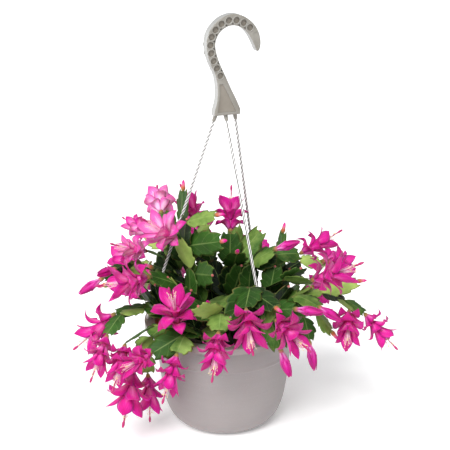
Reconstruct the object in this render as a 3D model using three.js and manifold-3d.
// A holiday cactus in bloom, growing in a round plastic hanging pot with its three-cord hanger.
// Millimetres, Z up. The pot is drawn standing on z = 0; the whole is then lowered so that
// the origin lies where a bar or bracket would carry the hook.
import * as THREE from "three";
import { mergeVertices } from "three/addons/utils/BufferGeometryUtils.js";
import Module from "manifold-3d";

// ---- driving dimensions ----
const RIM_RADIUS = 103; // an eight-inch pot
const POT_HEIGHT = 140;
const POT_WALL = 2.2;
const BASE_RADIUS = 50;
const RIM_THICKNESS = 2.6;
const LIP_DROP = 8;
const POT_SIDES = 24;
const SOIL_TOP = 124;
const SOIL_GAP = 0.4;

const HOOK_FOOT = 409; // height of the hook's lower edge over the pot's foot
const HOOK_THICKNESS = 12;
const HOOK_TURN = 22; // degrees, about the upright axis
const HOOK_POCKET = 2.8; // depth of the round pockets
const CORD_DIAMETER = 3.8;
const CORD_CIRCLE = 96.8; // radius on which the cords meet the rim
const CORD_HEADINGS = [182, -58, 62];
const GAP = 0.3;

const STEM_RADIUS = 3.6; // woody foot of a leafy stem
const STEM_FOOT = 108; // how deep the stems stand
const CLEAR = 0.5; // least distance between pieces that don't touch

const wasm = await Module();
wasm.setup();
const { Manifold } = wasm;

// ---- small vector rules ----
const RAD = Math.PI / 180;
const add = (a, b, s = 1) => [a[0] + b[0] * s, a[1] + b[1] * s, a[2] + b[2] * s];
const sub = (a, b) => [a[0] - b[0], a[1] - b[1], a[2] - b[2]];
const dot = (a, b) => a[0] * b[0] + a[1] * b[1] + a[2] * b[2];
const cross = (a, b) => [a[1] * b[2] - a[2] * b[1], a[2] * b[0] - a[0] * b[2], a[0] * b[1] - a[1] * b[0]];
const size = (a) => Math.sqrt(dot(a, a));
const unit = (a) => {
  const l = size(a);
  return [a[0] / l, a[1] / l, a[2] / l];
};
const polar = (r, deg, z) => [r * Math.cos(deg * RAD), r * Math.sin(deg * RAD), z];
// A repeatable chance value from 0 to 1 for a seed and a place in its row.
const chance = (seed, i) => {
  const v = Math.sin(seed * 12.9898 + i * 78.233) * 43758.5453;
  return v - Math.floor(v);
};

// ---- solids ----
function solid(points, faces) {
  let six = 0;
  for (const [a, b, c] of faces) six += dot(points[a], cross(points[b], points[c]));
  const out = six < 0 ? faces.map(([a, b, c]) => [a, c, b]) : faces;
  return new Manifold(
    new wasm.Mesh({
      numProp: 3,
      vertProperties: new Float32Array(points.flat()),
      triVerts: new Uint32Array(out.flat()),
    }),
  );
}
// A body through a row of like rings; an end is a flat cap or, given a point, runs out in it.
function through(rings, startPoint = null, endPoint = null) {
  const points = rings.flat();
  const faces = [];
  const k = rings[0].length;
  for (let i = 0; i + 1 < rings.length; i++) {
    for (let j = 0; j < k; j++) {
      const a = i * k + j;
      const b = i * k + ((j + 1) % k);
      faces.push([a, b, b + k], [a, b + k, a + k]);
    }
  }
  const last = (rings.length - 1) * k;
  if (startPoint) {
    points.push(startPoint);
    for (let j = 0; j < k; j++) faces.push([(j + 1) % k, j, points.length - 1]);
  } else {
    for (let j = 1; j + 1 < k; j++) faces.push([0, j + 1, j]);
  }
  if (endPoint) {
    points.push(endPoint);
    for (let j = 0; j < k; j++) faces.push([last + j, last + ((j + 1) % k), points.length - 1]);
  } else {
    for (let j = 1; j + 1 < k; j++) faces.push([last, last + j, last + j + 1]);
  }
  return solid(points, faces);
}
function fromGeometry(geometry) {
  const g = geometry.index ? geometry.toNonIndexed() : geometry.clone();
  g.deleteAttribute("normal");
  g.deleteAttribute("uv");
  const merged = mergeVertices(g, 1e-4);
  const p = merged.attributes.position;
  const points = [];
  for (let i = 0; i < p.count; i++) points.push([p.getX(i), p.getY(i), p.getZ(i)]);
  const faces = [];
  const index = merged.index.array;
  for (let i = 0; i < index.length; i += 3) {
    const [a, b, c] = [index[i], index[i + 1], index[i + 2]];
    if (a !== b && b !== c && a !== c) faces.push([a, b, c]);
  }
  return solid(points, faces);
}
function turned(profile, sides) {
  const g = new THREE.LatheGeometry(profile.map(([r, z]) => new THREE.Vector2(r, z)), sides);
  g.rotateX(Math.PI / 2);
  return fromGeometry(g);
}
function cylinder(radius, z0, z1, sides, at = [0, 0]) {
  const rings = [z0, z1].map((z) =>
    Array.from({ length: sides }, (_, j) => {
      const a = (j / sides) * 2 * Math.PI;
      return [at[0] + radius * Math.cos(a), at[1] + radius * Math.sin(a), z];
    }),
  );
  return through(rings);
}

const nodes = []; // {name, solid, colour}
const keep = (name, made, colour) => {
  const box = made.boundingBox();
  const node = { name, solid: made, colour, box };
  nodes.push(node);
  return node;
};
const near = (a, b, g) => [0, 1, 2].every((i) => a.min[i] - g < b.max[i] && b.min[i] - g < a.max[i]);
// The first node that a solid comes too close to, or null.
function touched(made, others, gap = CLEAR) {
  const box = made.boundingBox();
  for (const o of others) {
    if (near(box, o.box, gap) && made.minGap(o.solid, gap * 1.2) < gap) return o.name;
  }
  return null;
}

// The largest body of a union; a hollow that the union sealed is filled with it.
function outer(made) {
  const bodies = made.decompose();
  return bodies.reduce((a, b) => (b.volume() > a.volume() ? b : a));
}

// ---- the pot: a thin bowl with a wide rolled rim, moulded in one piece ----
const w = POT_WALL;
const UNDER_RIM = 91.5; // outside of the wall just under the rim
const outside = [
  [0, 0],
  [BASE_RADIUS, 0],
  [61, 4.5],
  [71, 14.5],
  [78.5, 34],
  [83, 62],
  [86.4, 99],
  [87.4, 101],
  [87.2, 105],
  [UNDER_RIM, POT_HEIGHT - RIM_THICKNESS],
  [RIM_RADIUS - 2.2, POT_HEIGHT - RIM_THICKNESS],
  [RIM_RADIUS - 1.8, POT_HEIGHT - LIP_DROP],
  [RIM_RADIUS, POT_HEIGHT - LIP_DROP],
  [RIM_RADIUS, POT_HEIGHT],
];
const inside = [
  [UNDER_RIM - w, POT_HEIGHT],
  [86.2 - w, 99],
  [83 - w, 62],
  [78.5 - w, 34],
  [70.4 - w, 14.5 + w],
  [55, 3],
  [0, 3],
];
let pot = turned([...outside, ...inside], POT_SIDES);
for (const heading of CORD_HEADINGS) {
  const [x, y] = polar(CORD_CIRCLE, heading, 0);
  pot = pot.subtract(cylinder(2.5, POT_HEIGHT - 6, POT_HEIGHT + 2, 8, [x, y]));
}
for (let i = 0; i < 4; i++) {
  const [x, y] = polar(30, 45 + i * 90, 0);
  pot = pot.subtract(cylinder(4.5, -1, 10, 8, [x, y]));
}
keep("pot", pot, 0xb3aca4);

// ---- the hook: a flat moulded J with blind pockets along its band ----
const hookOutline = [
  [-14.5, 0],
  [-14.2, 6],
  [-11.2, 17],
  [-10.4, 30],
  [-11.2, 42],
  [-14.2, 53],
  [-19.2, 63.5],
  [-22.8, 74],
  [-24.6, 84.5],
  [-24.2, 94],
  [-21, 104],
  [-14.4, 112.6],
  [-4.6, 119.8],
  [8, 123.4],
  [19, 121.8],
  [29.5, 116.4],
  [38.4, 108.2],
  [43.8, 98.6],
  [46, 89],
  [45.4, 80.6],
  [43, 76.6],
  [40.8, 77.6],
  [37.4, 84.6],
  [32.4, 94.4],
  [26.4, 102],
  [18.8, 107.4],
  [9.5, 109.4],
  [1.4, 107.8],
  [-5.6, 103.4],
  [-10.6, 96.6],
  [-13, 88.4],
  [-12.2, 79.6],
  [-9.4, 69.6],
  [-5, 59.2],
  [0.8, 47],
  [7.2, 33],
  [13.8, 20],
  [19.6, 7],
  [19.6, 0],
];
const hookShape = new THREE.Shape(hookOutline.map(([x, z]) => new THREE.Vector2(x, z)));
const hookBlank = new THREE.ExtrudeGeometry(hookShape, { depth: HOOK_THICKNESS, bevelEnabled: false });
// The plane of the outline becomes upright, its thickness centred on the cords' plane.
hookBlank.translate(0, 0, -HOOK_THICKNESS / 2);
hookBlank.rotateX(Math.PI / 2);
let hook = fromGeometry(hookBlank);
const pocketCentres = [
  [-6.8, 49.5, 4],
  [-11.3, 58.8, 4],
  [-15.3, 68, 4],
  [-18.6, 77.6, 4.1],
  [-19.6, 87.4, 4.1],
  [-17.9, 97.2, 4.1],
  [-12.9, 105.6, 4.1],
  [-5.2, 112.1, 4.1],
  [4.3, 115.8, 4.1],
  [14.3, 115.6, 4.1],
  [23.7, 112, 4.1],
  [31.9, 105.8, 4.1],
];
const drills = [];
for (const side of [-1, 1]) {
  for (const [x, z, r] of pocketCentres) {
    const ring = (v) =>
      Array.from({ length: 7 }, (_, j) => {
        const a = ((j + 0.5) / 7) * 2 * Math.PI;
        return [x + r * Math.cos(a), v, z + r * Math.sin(a)];
      });
    const face = (side * HOOK_THICKNESS) / 2;
    drills.push(through([ring(face - side * HOOK_POCKET), ring(face + side)]));
  }
  // The lower plate is sunk a little inside a raised border.
  const plate = [
    [-10.6, 3.4],
    [14.6, 3.4],
    [2.6, 28],
    [-3.6, 39],
    [-8.2, 39],
    [-7.6, 24],
  ];
  const face = (side * HOOK_THICKNESS) / 2;
  drills.push(through([plate.map(([x, z]) => [x, face - side * 1.2, z]), plate.map(([x, z]) => [x, face + side, z])]));
}
hook = Manifold.difference([hook, ...drills]);
hook = hook.rotate([0, 0, HOOK_TURN]).translate([0, 0, HOOK_FOOT]);
keep("hook", hook, 0xaaa398);
const CROWN = [9.5, 109.4]; // the highest point of the hook's inside, in its outline
const HANG = [CROWN[0] * Math.cos(HOOK_TURN * RAD), CROWN[0] * Math.sin(HOOK_TURN * RAD), HOOK_FOOT + CROWN[1]];

// ---- three twisted cords, each with a moulded pin through the rim ----
const CORD_EXITS = [-11, 2, 14.5]; // along the hook's lower edge
CORD_HEADINGS.forEach((heading, i) => {
  const side = ["left", "front", "back"][i];
  const [x, y] = polar(CORD_CIRCLE, heading, 0);
  const lathe = (profile) => {
    const rings = profile.map(([r, z]) =>
      Array.from({ length: 6 }, (_, j) => {
        const a = (j / 6) * 2 * Math.PI;
        return [x + r * Math.cos(a), y + r * Math.sin(a), POT_HEIGHT + z];
      }),
    );
    return through(rings);
  };
  const pin = lathe([
    [2.2, -7.4],
    [3.4, -5.6],
    [3.4, -RIM_THICKNESS - GAP],
    [2.0, -RIM_THICKNESS - GAP],
    [2.0, GAP],
    [3.6, GAP],
    [3.6, 3.4],
    [2.4, 7],
  ]);
  keep("cord_pin_" + side, pin, 0xc9c6bf);
  const low = [x, y, POT_HEIGHT + 7 + GAP];
  const high = [
    CORD_EXITS[i] * Math.cos(HOOK_TURN * RAD),
    CORD_EXITS[i] * Math.sin(HOOK_TURN * RAD),
    HOOK_FOOT - GAP,
  ];
  // Both ends are cut level, face to face with the pin and the hook.
  const ends = [low, high].map((c) =>
    Array.from({ length: 8 }, (_, j) => {
      const a = (j / 8) * 2 * Math.PI;
      return [c[0] + (CORD_DIAMETER / 2) * Math.cos(a), c[1] + (CORD_DIAMETER / 2) * Math.sin(a), c[2]];
    }),
  );
  keep("cord_" + side, through(ends), 0xd8d5cf);
});

// ---- leafy segments: flat toothed blades, thick along the middle, each grown on the end of the one below ----
const EDGE = [
  [0.38, 1],
  [0.47, 0.8],
  [0.72, 0.96],
  [0.78, 0.7],
];
const HORN = [0.965, 0.46];
const LAST_HORN = [1.07, 0.5];
const JOINT = [2.7, 1.1]; // half width and half thickness where two segments meet
const LAST_JOINT = [2, 0.8];
const SUNK = 3; // how far the foot of a shoot runs back into the blade it grows from
// list: {start, end, side, width, thick} for each segment of one shoot. foot: rings of a woody stem
// [radius, z] under it, or null. cap: rings [radius, height] and the tip of a bud along aim, or null.
function chain(list, foot, cap, aim) {
  const points = [];
  const faces = [];
  const frames = list.map((p) => {
    const dir = unit(sub(p.end, p.start));
    const s = unit(sub(p.side, dir.map((v) => v * dot(p.side, dir))));
    return { dir, s, up: cross(s, dir) };
  });
  const ring = (centre, f, [wide, high]) => {
    points.push(add(centre, f.s, -wide), add(centre, f.up, -high), add(centre, f.s, wide), add(centre, f.up, high));
    return points.length - 4;
  };
  const join = (a, b) => {
    for (let j = 0; j < 4; j++) {
      const k = (j + 1) % 4;
      faces.push([a + j, a + k, b + k], [a + j, b + k, b + j]);
    }
  };
  let a = null;
  if (foot) {
    const s = unit([frames[0].s[0], frames[0].s[1], 0]);
    const plain = { s, up: cross(s, [0, 0, 1]) };
    for (const [r, z] of foot) {
      const b = ring([list[0].start[0], list[0].start[1], z], plain, [r, r]);
      if (a !== null) join(a, b);
      a = b;
    }
    const b = ring(list[0].start, frames[0], JOINT);
    join(a, b);
    a = b;
  } else {
    a = ring(add(list[0].start, frames[0].dir, -SUNK), frames[0], JOINT);
  }
  faces.push([0, 2, 1], [0, 3, 2]);
  list.forEach((p, i) => {
    const f = frames[i];
    const last = i + 1 === list.length;
    const start = i === 0 ? add(p.start, f.dir, -SUNK) : p.start;
    const length = size(sub(p.end, start));
    const at = (u, v, h) => add(add(add(start, f.dir, u * length), f.s, (v * p.width) / 2), f.up, h);
    const left = points.length;
    for (const [u, v] of [...EDGE, last ? LAST_HORN : HORN]) points.push(at(u, -v, 0));
    const right = points.length;
    for (const [u, v] of [...EDGE, last ? LAST_HORN : HORN]) points.push(at(u, v, 0));
    const c = points.length;
    points.push(at(0.5, 0, -p.thick), at(0.5, 0, p.thick));
    let b;
    if (last) {
      b = ring(p.end, f, LAST_JOINT);
    } else {
      const n = frames[i + 1];
      const s = unit(add(f.s, n.s));
      const d = unit(add(f.dir, n.dir));
      const up = unit(cross(s, d));
      b = ring(p.end, { s, up }, JOINT);
    }
    for (const [o, ringSide] of [
      [left, 0],
      [right, 2],
    ]) {
      for (const [m, ringFace] of [
        [c, 1],
        [c + 1, 3],
      ]) {
        const A = a + ringSide;
        const AT = a + ringFace;
        const B = b + ringSide;
        const BT = b + ringFace;
        const t = [
          [AT, A, o],
          [AT, o, m],
          [o, o + 1, m],
          [o + 1, o + 2, m],
          [o + 2, BT, m],
          [o + 2, o + 3, BT],
          [o + 3, o + 4, BT],
          [o + 4, B, BT],
        ];
        const turn = (ringSide === 0) === (ringFace === 1);
        for (const [x, y, z] of t) faces.push(turn ? [x, z, y] : [x, y, z]);
      }
    }
    a = b;
  });
  if (cap) {
    // The foot of the tip stands straight on the blade, past its two horns, and the rest leans along aim.
    const f = frames[frames.length - 1];
    const e1 = unit(sub(f.s, aim.map((v) => v * dot(f.s, aim))));
    const e2 = cross(e1, aim);
    const [footRadius, footHeight] = cap.rings[0];
    const neck = add(list[list.length - 1].end, f.dir, footHeight);
    const centre = add(neck, aim, -footHeight);
    const straight = ring(neck, f, [footRadius, footRadius]);
    join(a, straight);
    a = straight;
    for (const [r, z] of cap.rings.slice(1)) {
      const b = ring(add(centre, aim, z), { s: e1, up: e2 }, [r, r]);
      join(a, b);
      a = b;
    }
    points.push(add(centre, aim, cap.tip));
    for (let j = 0; j < 4; j++) faces.push([a + j, a + ((j + 1) % 4), points.length - 1]);
  } else {
    faces.push([a, a + 1, a + 2], [a, a + 2, a + 3]);
  }
  return solid(points, faces);
}

// ---- a small bud, a closed bloom and an open bloom, all along an axis from their foot ----
function crossAxes(axis, out) {
  const ref = Math.abs(axis[2]) < 0.9 ? [0, 0, 1] : out;
  const e1 = unit(sub(ref, axis.map((v) => v * dot(ref, axis))));
  return [e1, cross(axis, e1)];
}
// An open bloom: a five-sided tube that carries three whorls of five petals, with the style in its throat.
// Rings of the tube: radius, height, turn in degrees.
const TUBE = [
  [1.5, 0, 0],
  [3.1, 4.5, 0],
  [3, 10.5, 0],
  [3.9, 15.5, 36],
  [4.5, 19, 36],
  [5.6, 26, 72],
];
const THROAT = [4.2, 26.5, 72];
const STYLE = [[1.1, 21, 0]];
// Whorls: petal middle [radius, height, width, thickness], tip [radius, height]; both drawn by the upper or lower side.
const WHORLS = [
  { ring: 1, mid: [13.5, 14, 14.5, 1.2], tip: [20.5, 9.5], lean: [1, 2, 1, 4] },
  { ring: 3, mid: [15.5, 26, 17, 1.3], tip: [23, 24.5], lean: [1, 2, 2, 5] },
  { ring: 5, mid: [12.5, 38, 17, 1.4], tip: [19, 47], lean: [1, 2.5, 3, 5] },
];
function bloomPoints(foot, axis, out, row) {
  const [e1, e2] = crossAxes(axis, out);
  const s = row.scale;
  const f = row.flare;
  const at = (r, z, deg, x = 0) => {
    const c = Math.cos(deg * RAD);
    const n = Math.sin(deg * RAD);
    return add(add(add(foot, axis, z * s), e1, (r * c + x) * s), e2, r * n * s);
  };
  const rings = [...TUBE, THROAT].map(([r, z, turn]) => [0, 1, 2, 3, 4].map((j) => at(r, z, turn + j * 72)));
  for (const [r, z, x] of STYLE) rings.push([0, 1, 2, 3, 4].map((j) => at(r, z, 72 + j * 72, x)));
  const petals = WHORLS.map(({ ring, mid, tip, lean }) =>
    [0, 1, 2, 3, 4].map((j) => {
      const turn = TUBE[ring][2] + 36 + j * 72;
      const high = Math.cos(turn * RAD);
      const mr = (mid[0] + lean[0] * high) * f;
      const mz = mid[1] - lean[1] * high;
      const tr = (tip[0] + lean[2] * high) * f;
      const tz = tip[1] - lean[3] * high;
      const half = Math.min(mid[2] / 2, mr * 0.69);
      const c = Math.cos(turn * RAD);
      const n = Math.sin(turn * RAD);
      const centre = at(mr, mz, turn);
      const across = add(e1.map((v) => -v * n), e2, c);
      const radial = add(e1.map((v) => v * c), e2, n);
      const d = [tr - TUBE[ring][0], tz - TUBE[ring][1]];
      const l = Math.hypot(d[0], d[1]);
      const back = add(radial.map((v) => (v * d[1]) / l), axis, -d[0] / l);
      return {
        left: add(centre, across, -half * s),
        right: add(centre, across, half * s),
        back: add(centre, back, mid[3]),
        tip: at(tr, tz, turn),
      };
    }),
  );
  return { rings, petals, top: at(0, 57, 0, 2.6) };
}
function bloom(foot, axis, out, row) {
  const { rings, petals, top } = bloomPoints(foot, axis, out, row);
  const points = rings.flat();
  const faces = [
    [0, 2, 1],
    [0, 3, 2],
    [0, 4, 3],
  ];
  for (let k = 0; k + 1 < rings.length; k++) {
    for (let j = 0; j < 5; j++) {
      const a = k * 5 + j;
      const b = k * 5 + ((j + 1) % 5);
      const c = a + 5;
      const d = b + 5;
      const whorl = WHORLS.findIndex((v) => v.ring === k);
      if (whorl < 0) {
        faces.push([a, b, d], [a, d, c]);
        continue;
      }
      const p = petals[whorl][j];
      const o = points.length;
      points.push(p.left, p.right, p.back, p.tip);
      const [L, R, B, T] = [o, o + 1, o + 2, o + 3];
      faces.push([a, b, B], [a, B, L], [b, R, B], [c, L, R], [c, R, d], [a, L, c], [b, d, R]);
      faces.push([L, B, T], [B, R, T], [R, L, T]);
    }
  }
  points.push(top);
  const last = (rings.length - 1) * 5;
  for (let j = 0; j < 5; j++) faces.push([last + j, last + ((j + 1) % 5), points.length - 1]);
  return solid(points, faces);
}
// A closed bloom and a small bud grow straight on from the end of their segment.
const TIPS = {
  closed: { rings: [[3.1, 3.5], [2.6, 8], [5.8, 20], [5, 28]], tip: 38 },
  bud: { rings: [[3, 4], [2.4, 9]], tip: 14 },
};

// ---- where the stems stand, where their shoots end and what each carries ----
// to: end of the shoot. aim: the way it points there. from: joint of the first shoot it grows from.
// n: how many blades it has. tip: bloom, closed, bud or bare. flare: how wide a bloom opens.
const STEMS = [
  {
    root: [-62, -14],
    shoots: [
      { to: [-143, -82, 152], aim: [-0.18, -0.48, -0.86], n: 4, tip: "bloom", flare: 0.9 },
      { from: 2, to: [-136, -42, 164], aim: [-0.92, -0.1, -0.42], n: 1, tip: "bloom", flare: 0.95, scale: 1.15 },
      { from: 1, to: [-104, -34, 196], aim: [-0.8, -0.3, 0], n: 1, tip: "bud" },
      { from: 1, to: [-86, -58, 172], aim: [-0.6, -0.8, 0], n: 1, tip: "bare" },
      { from: 1, to: [-86, -40, 200], aim: [-0.5, -0.6, 0.4], n: 1, tip: "bare" },
    ],
  },
  {
    root: [-48, -36],
    shoots: [
      { to: [-112, -90, 110], aim: [-0.35, -0.5, -0.8], n: 5, tip: "bloom", flare: 1.05, scale: 1.2 },
      { from: 4, to: [-97, -52, 86], aim: [0.3, 0.25, -0.92], n: 1, tip: "bloom", flare: 0.9 },
      { from: 1, to: [-84, -84, 190], aim: [-0.5, -0.8, 0], n: 1, tip: "bare" },
    ],
  },
  {
    root: [-24, -52],
    shoots: [
      { to: [-56, -120, 144], aim: [-0.2, -0.25, -0.95], n: 4, tip: "bloom", flare: 0.85 },
      { from: 3, to: [-86, -118, 142], aim: [-0.3, -0.78, -0.55], n: 1, tip: "bloom", flare: 0.8, scale: 0.9 },
      { from: 2, to: [-120, -98, 147], aim: [-0.1, -0.2, -0.97], n: 2, tip: "bloom", flare: 0.8 },
      { from: 2, to: [-55, -110, 174], aim: [-0.1, -0.35, 0.93], n: 1, tip: "bloom", flare: 1.15 },
      { from: 1, to: [-2, -86, 152], aim: [0.6, -0.8, 0], n: 1, tip: "bare" },
    ],
  },
  {
    root: [-56, 22],
    shoots: [
      { to: [-153, -14, 200], aim: [-0.46, -0.33, -0.82], n: 4, tip: "closed" },
      { from: 3, to: [-136, -26, 216], aim: [-0.5, -0.4, -0.6], n: 1, tip: "closed" },
      { from: 2, to: [-153, 22, 178], aim: [-0.8, 0.2, -0.5], n: 2, tip: "bud" },
      { from: 1, to: [-112, 30, 158], aim: [-0.8, 0.2, -0.6], n: 1, tip: "bare" },
    ],
  },
  {
    root: [-40, 42],
    shoots: [
      { to: [-98, 52, 238], aim: [-0.68, 0.73, 0.01], n: 4, tip: "bloom", flare: 0.8, scale: 0.85 },
      { from: 2, to: [-98, 14, 226], aim: [-0.75, -0.5, 0.22], n: 2, tip: "bloom", flare: 0.85, scale: 0.9 },
      { from: 1, to: [-94, 58, 186], aim: [-0.8, 0.5, 0], n: 1, tip: "bud" },
      { from: 2, to: [-70, 62, 240], aim: [0.2, 0.6, 0.8], n: 1, tip: "bare" },
    ],
  },
  {
    root: [-36, -14],
    shoots: [
      { to: [-89, -60, 219], aim: [-0.88, -0.42, 0.2], n: 3, tip: "bloom", flare: 1.15, scale: 1.1 },
      { from: 1, to: [-57, -30, 258], aim: [-0.75, -0.6, 0.3], n: 2, tip: "bloom", flare: 1.15 },
      { from: 1, to: [-88, -18, 204], aim: [-0.8, -0.2, 0.2], n: 1, tip: "bud" },
      { from: 1, to: [-40, -74, 206], aim: [0, -0.9, 0.2], n: 1, tip: "bare" },
      { from: 1, to: [-70, -40, 210], aim: [-0.7, -0.4, 0.5], n: 1, tip: "bare" },
    ],
  },
  {
    root: [-26, 18],
    shoots: [
      { to: [-52, 22, 305], aim: [0.07, 0.43, 0.9], n: 4, tip: "bud" },
      { from: 2, to: [-81, 40, 268], aim: [0, 0.92, 0.39], n: 2, tip: "bloom", flare: 0.9 },
      { from: 1, to: [-84, 6, 198], aim: [-0.9, 0, 0.3], n: 1, tip: "bare" },
      { from: 2, to: [-22, 4, 268], aim: [0.7, -0.2, 0.7], n: 1, tip: "bare" },
    ],
  },
  {
    root: [-12, -22],
    shoots: [
      { to: [-46, -30, 283], aim: [0.2, -0.3, 0.9], n: 4, tip: "bare" },
      { from: 4, to: [-11, -45, 293], aim: [0.9, -0.3, -0.3], n: 1, tip: "bud" },
      { from: 3, to: [-4, -76, 270], aim: [0.5, -0.8, 0.4], n: 1, tip: "bud" },
      { from: 2, to: [-14, -86, 230], aim: [0.2, -0.9, 0], n: 1, tip: "bare" },
      { from: 1, to: [14, -72, 190], aim: [0.4, -0.9, 0], n: 1, tip: "bare" },
    ],
  },
  {
    root: [4, 12],
    shoots: [
      { to: [8, 0, 255], aim: [0.03, 0.26, 0.96], n: 3, tip: "bloom", flare: 1 },
      { from: 1, to: [-31, 50, 246], aim: [0, 0.47, 0.88], n: 2, tip: "bloom", flare: 0.9 },
      { from: 1, to: [40, 36, 236], aim: [-0.4, 0.3, 0.8], n: 2, tip: "bud" },
      { from: 2, to: [16, -44, 244], aim: [0.2, -0.9, 0.3], n: 1, tip: "bud" },
      { from: 2, to: [46, 6, 256], aim: [0.7, 0, 0.7], n: 1, tip: "bare" },
      { from: 1, to: [22, -24, 220], aim: [0.3, -0.6, 0.7], n: 1, tip: "bare" },
    ],
  },
  {
    root: [-6, -42],
    shoots: [
      { to: [-6, -130, 177], aim: [-0.13, -0.42, -0.9], n: 4, tip: "bloom", flare: 0.95 },
      { from: 3, to: [-30, -136, 210], aim: [-0.74, -0.6, 0.07], n: 1, tip: "bare" },
      { from: 1, to: [-18, -96, 196], aim: [-0.2, -0.9, 0.2], n: 1, tip: "bud" },
      { from: 2, to: [-46, -92, 190], aim: [-0.9, -0.3, 0], n: 1, tip: "bare" },
      { from: 2, to: [26, -92, 176], aim: [0.9, -0.3, 0], n: 1, tip: "bare" },
    ],
  },
  {
    root: [16, -46],
    shoots: [
      { to: [26, -125, 204], aim: [0.22, -0.59, -0.78], n: 3, tip: "bloom", flare: 1.15 },
      { from: 2, to: [60, -124, 204], aim: [0.48, -0.82, -0.31], n: 1, tip: "bud" },
      { from: 2, to: [8, -112, 186], aim: [-0.6, -0.7, -0.3], n: 1, tip: "bare" },
    ],
  },
  {
    root: [50, -30],
    shoots: [
      { to: [60, -116, 186], aim: [0.72, -0.42, -0.55], n: 3, tip: "bloom", flare: 1 },
      { from: 2, to: [68, -104, 143], aim: [0.26, -0.13, -0.96], n: 1, tip: "closed" },
      { from: 2, to: [84, -96, 190], aim: [0.74, -0.44, -0.51], n: 1, tip: "closed" },
      { from: 1, to: [80, -56, 204], aim: [0.4, -0.6, 0.6], n: 1, tip: "bare" },
      { from: 2, to: [44, -96, 186], aim: [-0.5, -0.8, 0], n: 1, tip: "bare" },
    ],
  },
  {
    root: [64, -6],
    shoots: [
      { to: [115, -80, 187], aim: [0.68, -0.39, -0.62], n: 3, tip: "closed" },
      { from: 2, to: [104, -88, 146], aim: [0.16, -0.15, -0.98], n: 2, tip: "closed" },
      { from: 2, to: [134, -60, 146], aim: [0.59, -0.21, -0.78], n: 2, tip: "bud" },
      { from: 1, to: [92, -34, 200], aim: [0.6, -0.4, 0.5], n: 1, tip: "bare" },
    ],
  },
  {
    root: [42, 8],
    shoots: [
      { to: [106, -64, 215], aim: [0.92, -0.35, -0.12], n: 4, tip: "bloom", flare: 1.1, scale: 1.1 },
      { from: 3, to: [94, -66, 232], aim: [-0.5, -0.74, 0], n: 1, tip: "bare" },
      { from: 2, to: [64, -22, 218], aim: [0, -0.7, 0.7], n: 1, tip: "bare" },
      { from: 1, to: [84, 12, 202], aim: [0.7, 0, 0.7], n: 1, tip: "bare" },
    ],
  },
  {
    root: [60, 24],
    shoots: [
      { to: [179, -18, 154], aim: [0.74, -0.31, -0.6], n: 5, tip: "bloom", flare: 0.85 },
      { from: 4, to: [158, -36, 166], aim: [-0.2, -0.45, -0.86], n: 1, tip: "bloom", flare: 0.85 },
      { from: 3, to: [172, 14, 184], aim: [0.66, 0.2, -0.73], n: 1, tip: "bud" },
      { from: 2, to: [132, 26, 204], aim: [0.8, 0.3, 0.1], n: 1, tip: "bud" },
      { from: 1, to: [112, 6, 180], aim: [0.8, -0.3, 0.2], n: 1, tip: "bare" },
    ],
  },
  {
    root: [24, -8],
    shoots: [
      { to: [62, -34, 244], aim: [0.85, -0.2, -0.5], n: 3, tip: "closed" },
      { from: 2, to: [95, -8, 230], aim: [0.96, 0.27, -0.02], n: 2, tip: "bloom", flare: 0.85 },
      { from: 1, to: [46, -50, 198], aim: [0.3, -0.9, 0], n: 1, tip: "bare" },
      { from: 2, to: [76, 14, 224], aim: [0.7, 0.2, 0.5], n: 1, tip: "bare" },
    ],
  },
  {
    root: [46, 46],
    shoots: [
      { to: [128, 62, 196], aim: [0.75, 0.45, -0.4], n: 4, tip: "bloom", flare: 0.95 },
      { from: 2, to: [118, 92, 148], aim: [0.4, 0.4, -0.82], n: 2, tip: "bloom", flare: 0.85 },
      { from: 2, to: [78, 60, 236], aim: [0.5, 0.5, 0.7], n: 1, tip: "bud" },
      { from: 1, to: [60, 22, 220], aim: [0, -0.5, 0.8], n: 1, tip: "bare" },
    ],
  },
  {
    root: [16, 58],
    shoots: [
      { to: [34, 132, 190], aim: [0.2, 0.8, -0.5], n: 4, tip: "bloom", flare: 1 },
      { from: 3, to: [6, 140, 140], aim: [-0.1, 0.3, -0.95], n: 2, tip: "bloom", flare: 0.85 },
      { from: 2, to: [14, 98, 232], aim: [0.1, 0.6, 0.78], n: 1, tip: "bud" },
    ],
  },
  {
    root: [-14, 44],
    shoots: [
      { to: [-34, 118, 214], aim: [-0.2, 0.85, 0.2], n: 4, tip: "bloom", flare: 1.1 },
      { from: 3, to: [-62, 128, 172], aim: [-0.4, 0.5, -0.75], n: 2, tip: "bloom", flare: 0.9 },
      { from: 1, to: [-24, 90, 178], aim: [-0.2, 0.9, 0], n: 1, tip: "bare" },
    ],
  },
  {
    root: [-56, 50],
    shoots: [
      { to: [-120, 92, 178], aim: [-0.7, 0.5, -0.5], n: 4, tip: "bloom", flare: 0.95 },
      { from: 3, to: [-104, 110, 146], aim: [-0.4, 0.5, -0.8], n: 1, tip: "bloom", flare: 0.85 },
      { from: 2, to: [-72, 104, 200], aim: [-0.1, 0.8, 0.3], n: 1, tip: "bud" },
      { from: 1, to: [-70, 92, 182], aim: [-0.3, 0.8, 0.2], n: 1, tip: "bare" },
    ],
  },
];

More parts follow.
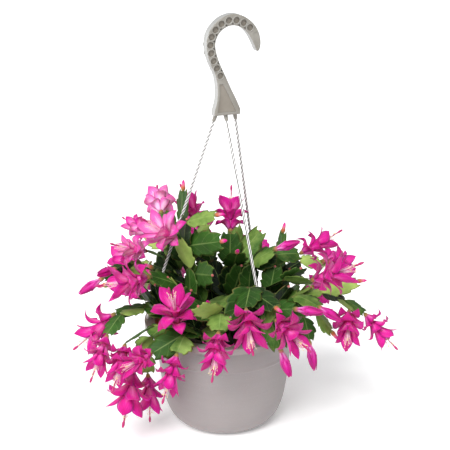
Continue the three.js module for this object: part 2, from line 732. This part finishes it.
// ---- the way a shoot takes, for one of its tries ----
const WOODY = [
  [STEM_RADIUS, STEM_FOOT],
  [STEM_RADIUS, SOIL_TOP],
];
const FINEST = 0.3; // forms smaller than this are left out of a stem
const STEPS = [0, 1, -1, 2, -2];
const TRIES = 125;
const SWING = 9; // a step sideways or up and down
const ROLL = 24; // degrees, a step about the shoot
const MARKS = 60; // along a shoot, to measure it by
function tryOf(k) {
  return [STEPS[k % 5], STEPS[Math.floor(k / 5) % 5], STEPS[Math.floor(k / 25) % 5]];
}
function wayOf(shoot, start, startDir, k) {
  const [rollStep, swingStep, liftStep] = tryOf(k);
  const end = shoot.to;
  const aim = unit(shoot.aim);
  const span = size(sub(end, start));
  const flat = unit([end[0] - start[0] + 1e-6, end[1] - start[1], 0]);
  const side = [-flat[1], flat[0], 0];
  const a = add(add(add(start, startDir, span * 0.42), side, swingStep * SWING), [0, 0, 1], liftStep * SWING);
  const b = add(add(add(end, aim, -span * 0.36), side, swingStep * SWING), [0, 0, 1], liftStep * SWING);
  const at = (t) => {
    const m = 1 - t;
    return [0, 1, 2].map(
      (i) => m * m * m * start[i] + 3 * m * m * t * a[i] + 3 * m * t * t * b[i] + t * t * t * end[i],
    );
  };
  const marks = [start];
  const sums = [0];
  for (let i = 1; i <= MARKS; i++) {
    marks.push(at(i / MARKS));
    sums.push(sums[i - 1] + size(sub(marks[i], marks[i - 1])));
  }
  const joints = [];
  for (let j = 0; j <= shoot.n; j++) {
    const want = (sums[MARKS] * j) / shoot.n;
    let i = 1;
    while (i < MARKS && sums[i] < want) i++;
    const t = (want - sums[i - 1]) / (sums[i] - sums[i - 1]);
    joints.push(add(marks[i - 1], sub(marks[i], marks[i - 1]), t));
  }
  return { joints, side, roll: rollStep * ROLL };
}
const BLADE_WIDTHS = [26, 31, 33, 32, 28]; // from the foot of a stem outwards
// Blades turn their faces a little to the light, which comes from outside, above and in front.
const MOST_TURN = 50; // degrees
function towardsLight(spot, flat, up) {
  const light = [spot[0] / 120, spot[1] / 120 - 0.5, 0.8];
  const a = dot(light, up);
  const turn = Math.atan2(-dot(light, flat) * Math.sign(a), Math.abs(a)) / RAD;
  return Math.max(-MOST_TURN, Math.min(MOST_TURN, turn * 0.5));
}
function segmentsOf(shoot, way, seed) {
  const list = [];
  for (let i = 0; i < shoot.n; i++) {
    const start = way.joints[i];
    const end = way.joints[i + 1];
    const dir = unit(sub(end, start));
    const s0 = unit(sub(way.side, dir.map((v) => v * dot(way.side, dir))));
    const up = cross(s0, dir);
    const twist = (way.roll + towardsLight(end, s0, up) + (chance(seed, i) - 0.5) * ROLL) * RAD;
    const side = add(s0.map((v) => v * Math.cos(twist)), up, Math.sin(twist));
    const place = shoot.from === undefined ? i : shoot.from + i;
    const width = BLADE_WIDTHS[Math.min(place, 4)] * (0.92 + 0.16 * chance(seed, i + 9));
    list.push({ start, end, side, width, thick: place < 2 ? 1.8 : 1.5 });
  }
  return list;
}

// ---- grow the plant, shoot by shoot, each clear of all that stands already ----
const LEAN = 0.22; // a step of a bloom on its joint
const LEANS = 25;
const LOWEST = 6; // nothing of the plant hangs lower than this over the pot's foot
const troubles = [];
const holes = [];
let blooms = 0;
STEMS.forEach((stem, number) => {
  const name = "stem_" + String(number + 1).padStart(2, "0");
  const fixed = nodes.slice();
  const foot = [stem.root[0], stem.root[1], SOIL_TOP + 6];
  const parts = [];
  const ownSolids = [];
  let main = null;
  stem.shoots.forEach((shoot, order) => {
    const seed = number * 10 + order + 1;
    let start;
    let startDir;
    if (shoot.from === undefined) {
      start = foot;
      const out = unit([shoot.to[0] - foot[0], shoot.to[1] - foot[1], 0.001]);
      startDir = unit([out[0] * 0.3, out[1] * 0.3, 1]);
    } else {
      const along = unit(sub(main.joints[shoot.from], main.joints[shoot.from - 1]));
      const below = main.list[shoot.from - 1];
      const s = unit(sub(below.side, along.map((v) => v * dot(below.side, along))));
      const away = Math.sign(dot(sub(shoot.to, main.joints[shoot.from]), s)) || 1;
      start = add(add(main.joints[shoot.from], s, 4 * away), along, -1);
      startDir = unit(add(along, unit(sub(shoot.to, start)), 1.6));
    }
    let best = null;
    for (let k = 0; k < TRIES && !best; k++) {
      const way = wayOf(shoot, start, startDir, k);
      const list = segmentsOf(shoot, way, seed);
      const last = list[list.length - 1];
      const dir = unit(sub(last.end, last.start));
      const out = unit([shoot.to[0], shoot.to[1], 0.001]);
      // An open bloom turns freely on its joint; a bud bends only a little from its own blade.
      const blooming = shoot.tip === "bloom";
      const aim = blooming ? unit(add(unit(shoot.aim), dir, 0.4)) : unit(add(dir, unit(shoot.aim), 0.3));
      const made = chain(list, shoot.from === undefined ? WOODY : null, TIPS[shoot.tip] || null, aim);
      const hit = touched(made, fixed) || (made.boundingBox().min[2] < LOWEST && "the floor");
      if (hit) {
        if (k === 0) shoot.firstHit = hit;
        continue;
      }
      if (!blooming) {
        best = { made, way, list };
        break;
      }
      const row = { flare: shoot.flare, scale: shoot.scale || 1 };
      const [e1, e2] = crossAxes(aim, out);
      for (let m = 0; m < LEANS && !best; m++) {
        const axis = unit(add(add(aim, e1, STEPS[m % 5] * LEAN), e2, STEPS[Math.floor(m / 5)] * LEAN));
        const tilt = Math.sqrt(Math.max(0, 1 - dot(axis, dir) ** 2));
        const at = add(last.end, axis, GAP + 0.1 + 1.4 * tilt);
        const flower = bloom(at, axis, out, row);
        const own = { name: "its own shoot", solid: made, box: made.boundingBox() };
        const stops =
          touched(flower, [...fixed, ...ownSolids]) ||
          (flower.minGap(own.solid, 1) < 0.2 && own.name) ||
          (flower.boundingBox().min[2] < LOWEST && "the floor");
        if (!stops) best = { made, way, list, flower };
        else shoot.lastHit = "bloom on " + stops;
      }
    }
    if (!best) {
      troubles.push(name + " shoot " + order + ": " + (shoot.firstHit || "") + " / " + (shoot.lastHit || ""));
      return;
    }
    parts.push(best.made);
    if (order === 0) {
      const [x, y] = unit([best.list[0].side[0], best.list[0].side[1], 0]);
      const r = STEM_RADIUS + 0.6;
      const corners = (z) => [
        [foot[0] + r * x, foot[1] + r * y, z],
        [foot[0] - r * y, foot[1] + r * x, z],
        [foot[0] - r * x, foot[1] - r * y, z],
        [foot[0] + r * y, foot[1] - r * x, z],
      ];
      holes.push(through([corners(STEM_FOOT - 0.4), corners(SOIL_TOP + 5)]));
    }
    if (order === 0) main = { ...best.way, list: best.list };
    ownSolids.push({ name: name + " shoot " + order, solid: best.made, box: best.made.boundingBox() });
    if (best.flower) {
      blooms += 1;
      const node = keep("bloom_" + String(blooms).padStart(2, "0"), best.flower, 0xd0148c);
      fixed.push(node);
    }
  });
  keep(name, outer(Manifold.union(parts).asOriginal().simplify(FINEST)), 0x4d7a3a);
});

// ---- the soil: it fills the pot, with a plain hole for each stem ----
const g = SOIL_GAP;
let soil = turned(
  [
    [0, 3 + g],
    [54.4, 3 + g],
    [69.8 - w - g, 14.5 + w + g],
    [78.3 - w - g, 34],
    [83 - w - g, 62],
    [86.2 - w - g, 99],
    [86.9 + 2 - w - g, SOIL_TOP],
    [0, SOIL_TOP],
  ],
  POT_SIDES,
);
soil = Manifold.difference([soil, ...holes]);
keep("soil", soil, 0x2d2119);

// ---- the finished group ----
const group = new THREE.Group();
for (const node of nodes) {
  const made = node.solid.getMesh();
  const k = made.numProp;
  const positions = new Float32Array(made.numVert * 3);
  for (let i = 0; i < made.numVert; i++) {
    for (let c = 0; c < 3; c++) positions[i * 3 + c] = made.vertProperties[i * k + c] - HANG[c];
  }
  const geometry = new THREE.BufferGeometry();
  geometry.setAttribute("position", new THREE.BufferAttribute(positions, 3));
  geometry.setIndex(new THREE.BufferAttribute(made.triVerts, 1));
  geometry.computeVertexNormals();
  const material = new THREE.MeshStandardMaterial({ color: node.colour, roughness: 0.6 });
  const mesh = new THREE.Mesh(geometry, material);
  mesh.name = node.name;
  group.add(mesh);
}
if (troubles.length) throw new Error("not clear:\n" + troubles.join("\n"));
export default group;
